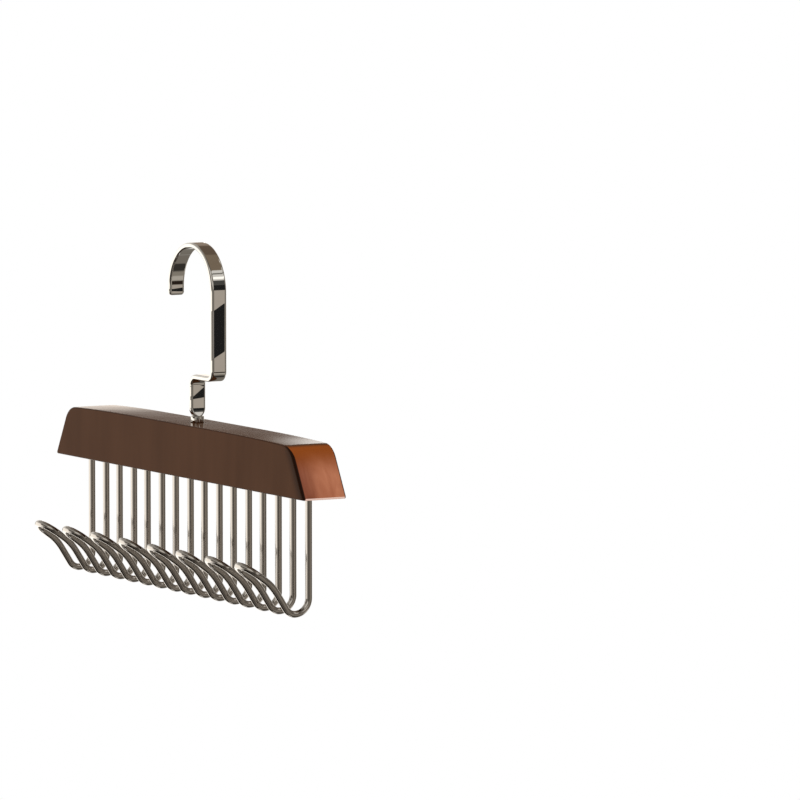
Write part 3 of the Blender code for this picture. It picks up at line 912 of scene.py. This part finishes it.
def lacquered_wood(name):
    """Stained wood under lacquer: soft figure, fine pores, redder ends; lighter ends, dark edges
    and pale lower edges are painted light.
    """
    material, graph, shader = new_material(name)
    shader.inputs["Specular IOR Level"].default_value = LACQUER_SPECULAR
    coords = graph.node("TexCoord", {}, "Object")
    facing = graph.node("TexCoord", {}, "Normal")
    over_end = graph.math("ABSOLUTE", graph.axis(facing, "X"))
    over_side = graph.math("ABSOLUTE", graph.axis(facing, "Y"))
    clouds = graph.noise(graph.stretched(coords, CLOUD_SCALE))
    pores = graph.noise(graph.stretched(coords, PORE_SCALE), detail=3.0, roughness=0.7)

    # The ends take their own redder colour, made lighter as painted light.
    end_share = graph.rise(over_end, *END_FACING)
    colour = graph.mix(end_share, side_wood(graph, coords, clouds), end_wood(graph, coords))
    colour = stain_and_dark_reflections(graph, colour, coords, over_end, over_side)
    # Painted highlight: a pale line on the ends' lower edge rounds.
    lower_edge_highlight = graph.times(graph.rise(over_side, *LOWER_EDGE_HIGHLIGHT_SIDE_FACING),
                            graph.window(graph.axis(facing, "Z"), *LOWER_EDGE_HIGHLIGHT_UP_FACING))
    colour = graph.mix(lower_edge_highlight, colour, LOWER_EDGE_HIGHLIGHT_COLOUR)
    pore_share = graph.times(graph.rise(pores, *PORE_LEVELS), PORE_SHARE)
    colour = graph.mix(pore_share, colour, PORE_COLOUR)

    relief = graph.math("ADD", clouds, graph.times(pores, PORE_RELIEF))
    finish(graph, shader, colour, graph.level(clouds, *LACQUER_ROUGHNESS), relief, LACQUER_RIPPLE)
    return material


# Studio

# The cards, walls and lamps of the studio that gloss mirrors before the white background: ranges
# of azimuth and of elevation, softness (all in degrees) and colour. Azimuth 0 is +X and 90 is +Y.
# Later ones stand before earlier ones.
MIRRORED = (
    ((-116.0, 122.0), (-95.0, 95.0), 6.0, (0.25, 0.225, 0.195)),
    ((30.0, 200.0), (34.0, 95.0), 5.0, (0.27, 0.21, 0.15)),
    ((104.0, 152.0), (30.0, 66.0), 4.0, (0.17, 0.125, 0.09)),
    # behind the bar
    ((128.0, 200.0), (-14.0, 4.4), 1.1, (1.60, 1.44, 1.28)),
    ((128.0, 200.0), (4.4, 36.0), 1.1, (0.18, 0.15, 0.13)),
    ((128.0, 200.0), (7.2, 36.0), 1.0, (0.28, 0.24, 0.20)),
    ((128.0, 200.0), (13.0, 36.0), 3.0, (0.34, 0.26, 0.20)),
    ((148.5, 151.2), (7.2, 13.0), 0.4, (3.00, 2.90, 2.75)),
    ((94.0, 126.0), (2.0, 14.0), 2.5, (0.80, 0.77, 0.71)),
    ((120.0, 158.0), (-62.0, -28.0), 5.0, (0.25, 0.23, 0.20)),
    # above, from the left to the front
    ((150.0, 300.0), (58.0, 95.0), 6.0, (0.30, 0.28, 0.25)),
    ((150.0, 300.0), (26.0, 58.0), 5.0, (0.55, 0.53, 0.49)),
    ((-60.0, 30.0), (46.0, 95.0), 6.0, (0.13, 0.12, 0.10)),
    ((-62.0, -18.0), (10.0, 50.0), 5.0, (1.00, 0.97, 0.91)),
    # left wall
    ((156.0, 242.0), (-33.0, 30.0), 3.0, (0.98, 0.95, 0.89)),
    ((186.0, 240.0), (-34.0, 15.0), 3.0, (1.95, 1.88, 1.75)),
    ((150.0, 262.0), (-95.0, -36.0), 2.5, (0.04, 0.035, 0.03)),
    ((154.0, 184.0), (-52.0, -12.0), 2.5, (1.90, 1.83, 1.70)),
    # front, low
    ((-112.0, -72.0), (-66.0, 13.0), 3.5, (0.025, 0.022, 0.018)),
    ((-72.0, -20.0), (-48.0, -9.0), 5.0, (0.09, 0.08, 0.07)),
    ((-74.0, -42.0), (-9.0, 9.0), 3.0, (0.42, 0.39, 0.34)),
    ((-40.0, -20.0), (-10.0, 4.0), 3.0, (0.07, 0.065, 0.06)),
    ((-20.0, 4.0), (-12.0, 20.0), 4.0, (0.20, 0.18, 0.155)),
    ((-120.0, 130.0), (-95.0, -66.0), 4.0, (0.05, 0.045, 0.037)),
    ((-128.0, -93.0), (-9.0, -2.5), 0.8, (2.00, 1.93, 1.80)),
    ((-93.0, -70.0), (-9.0, -2.5), 0.8, (0.90, 0.86, 0.80)),
    # right, below
    ((6.0, 50.0), (-46.0, 1.5), 2.0, (0.34, 0.31, 0.265)),
    ((20.0, 41.0), (-31.0, -20.5), 2.0, (0.60, 0.56, 0.50)),
    ((30.0, 62.0), (-60.0, -42.0), 3.0, (0.05, 0.045, 0.04)),
    ((50.0, 94.0), (-14.0, 9.0), 3.0, (0.20, 0.18, 0.155)),
    ((68.0, 104.0), (-40.0, -26.0), 4.0, (1.20, 1.15, 1.06)),
    # right, above
    ((46.0, 70.0), (8.0, 37.0), 3.0, (0.25, 0.23, 0.20)),
    ((70.0, 98.0), (13.0, 40.0), 3.0, (0.17, 0.15, 0.13)),
    ((67.0, 83.0), (44.0, 56.5), 1.5, (1.10, 1.06, 0.98)),
    ((47.0, 60.0), (38.0, 46.0), 1.5, (0.90, 0.88, 0.83)),
    ((2.0, 18.0), (4.0, 22.0), 3.0, (1.10, 1.06, 0.99)),
    # opposite the strip's flat side
    ((19.0, 40.0), (1.5, 13.0), 0.5, (0.02, 0.02, 0.02)),
    ((22.0, 37.0), (13.0, 22.5), 1.0, (0.09, 0.09, 0.085)),
    ((24.5, 32.5), (-9.5, 1.5), 0.4, (0.58, 0.52, 0.455)),
    ((22.0, 36.0), (-19.0, -10.5), 1.0, (0.03, 0.02, 0.015)),
    ((26.0, 47.0), (22.5, 43.5), 0.8, (0.95, 0.93, 0.89)),
    ((26.0, 47.0), (25.5, 30.0), 0.8, (1.80, 1.77, 1.70)),
    ((26.0, 47.0), (35.2, 38.0), 0.6, (0.25, 0.24, 0.22)),
)
BACKGROUND = (1.0, 1.0, 1.0)

# The soft light on the hanger: plain all round, stronger from the left and from above
LIGHT = (
    ((-150.0, -45.0), (-25.0, 60.0), 20.0, (1.35, 1.33, 1.30)),
    ((-180.0, 180.0), (40.0, 95.0), 15.0, (1.20, 1.19, 1.17)),
    ((-180.0, 180.0), (-95.0, -35.0), 15.0, (0.50, 0.49, 0.48)),
)
LIGHT_BASE = (0.85, 0.84, 0.82)


def surroundings(graph, azimuth, elevation, base, patches):
    """A colour by direction, from patches over a base colour."""
    colour = base
    for (left, right), (low, high), soft, patch in patches:
        turned = graph.math("SUBTRACT", azimuth, (left + right) / 2)
        offset = graph.math("ABSOLUTE", graph.math("WRAP", turned, HALF_TURN, -HALF_TURN))
        reach = (right - left) / 2
        across = graph.rise(offset, reach + soft, reach - soft)
        upright = graph.window(elevation, low, high, soft)
        colour = graph.mix(graph.times(across, upright), colour, patch)
    return colour


def shows_background(graph):
    """1 for the rays that see the white background: the camera's, mirrored and refracted ones."""
    rays = [graph.node("LightPath", {}, kind)
            for kind in ("Is Camera Ray", "Is Glossy Ray", "Is Transmission Ray")]
    return graph.math("MAXIMUM", graph.math("MAXIMUM", rays[0], rays[1]), rays[2])


def make_world():
    world = bpy.data.worlds.new("studio")
    world.use_nodes = True
    world.node_tree.nodes.clear()
    bpy.context.scene.world = world
    graph = Graph(world.node_tree)
    direction = graph.node("TexCoord", {}, "Generated")
    x, y, z = [graph.axis(direction, name) for name in "XYZ"]
    azimuth = graph.math("DEGREES", graph.math("ARCTAN2", y, x))
    elevation = graph.math("DEGREES", graph.math("ARCSINE", z))
    light = surroundings(graph, azimuth, elevation, LIGHT_BASE, LIGHT)
    mirrored = surroundings(graph, azimuth, elevation, BACKGROUND, MIRRORED)
    straight = graph.node("LightPath", {}, "Is Camera Ray")
    background = graph.mix(straight, mirrored, BACKGROUND)
    lit = graph.node("Background", {"Color": light, "Strength": 1.0})
    seen = graph.node("Background", {"Color": background, "Strength": 1.0})
    chosen = graph.node("MixShader", {0: shows_background(graph), 1: lit, 2: seen})
    graph.node("OutputWorld", {"Surface": chosen})


def floor_material():
    """Pale above, and whiter for the rays that see the background; clear underneath."""
    material = bpy.data.materials.new("pale_floor")
    material.use_nodes = True
    material.node_tree.nodes.clear()
    graph = Graph(material.node_tree)
    matt = graph.node("BsdfDiffuse", {"Color": FLOOR_COLOUR})
    strength = graph.times(shows_background(graph), FLOOR_LIFT)
    lift = graph.node("Emission", {"Color": BACKGROUND, "Strength": strength})
    pale = graph.node("AddShader", {0: matt, 1: lift})
    clear = graph.node("BsdfTransparent", {})
    underneath = graph.node("NewGeometry", {}, "Backfacing")
    surface = graph.node("MixShader", {0: underneath, 1: pale, 2: clear})
    graph.node("OutputMaterial", {"Surface": surface})
    return material


def make_floor():
    """A pale floor far below the hanger, which can be looked through from underneath."""
    bm = bmesh.new()
    bmesh.ops.create_circle(bm, cap_ends=True, segments=FLOOR_SIDES, radius=FLOOR_RADIUS)
    mesh = bpy.data.meshes.new("floor")
    bm.to_mesh(mesh)
    bm.free()
    mesh.materials.append(floor_material())
    floor = bpy.data.objects.new("floor", mesh)
    floor.location = (0.0, 0.0, FLOOR_Z)
    bpy.context.scene.collection.objects.link(floor)


def make_camera():
    """The photograph's camera: a long lens towards the hanger's right end, from slightly above."""
    cos_pitch = math.cos(CAMERA_PITCH)
    ahead = Vector((-math.cos(CAMERA_YAW) * cos_pitch, math.sin(CAMERA_YAW) * cos_pitch,
                    -math.sin(CAMERA_PITCH)))
    right = ahead.cross(Vector((0.0, 0.0, 1.0))).normalized()
    up = right.cross(ahead)
    right_offset = (BAR_FOOT_PIXEL[0] - PHOTO_SIDE / 2) / FOCAL_PIXELS * CAMERA_DISTANCE
    up_offset = (PHOTO_SIDE / 2 - BAR_FOOT_PIXEL[1]) / FOCAL_PIXELS * CAMERA_DISTANCE
    bar_foot = Vector((0.0, 0.0, BAR_BOTTOM_Z))
    eye = bar_foot - right * right_offset - up * up_offset - ahead * CAMERA_DISTANCE
    data = bpy.data.cameras.new("photo_camera")
    data.sensor_width = SENSOR_WIDTH
    data.lens = FOCAL_PIXELS / PHOTO_SIDE * SENSOR_WIDTH
    data.clip_end = CAMERA_CLIP_END
    camera = bpy.data.objects.new("photo_camera", data)
    turned = Matrix((right, up, -ahead)).transposed()
    camera.matrix_world = Matrix.Translation(eye) @ turned.to_4x4()
    bpy.context.scene.collection.objects.link(camera)
    bpy.context.scene.camera = camera


def main():
    bpy.context.scene.view_settings.view_transform = "Standard"
    chrome = metal("polished_chrome", CHROME_COLOUR, POLISHED_ROUGHNESS, CHROME_RIPPLE)
    wire_chrome = metal("polished_wire_chrome", WIRE_CHROME_COLOUR, POLISHED_ROUGHNESS,
                        WIRE_RIPPLE)
    plated = metal("zinc_plating", ZINC_COLOUR, PLATED_ROUGHNESS, PLATED_RIPPLE)
    white_nylon = nylon("natural_nylon")
    wood = lacquered_wood("lacquered_wood")

    make_strip(chrome)
    make_pin(chrome)
    make_washer(plated)
    make_lock_nut(plated)
    make_locking_ring(white_nylon)
    make_bar(wood)
    make_wire_hooks(wire_chrome)

    make_floor()
    make_world()
    make_camera()


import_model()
main()
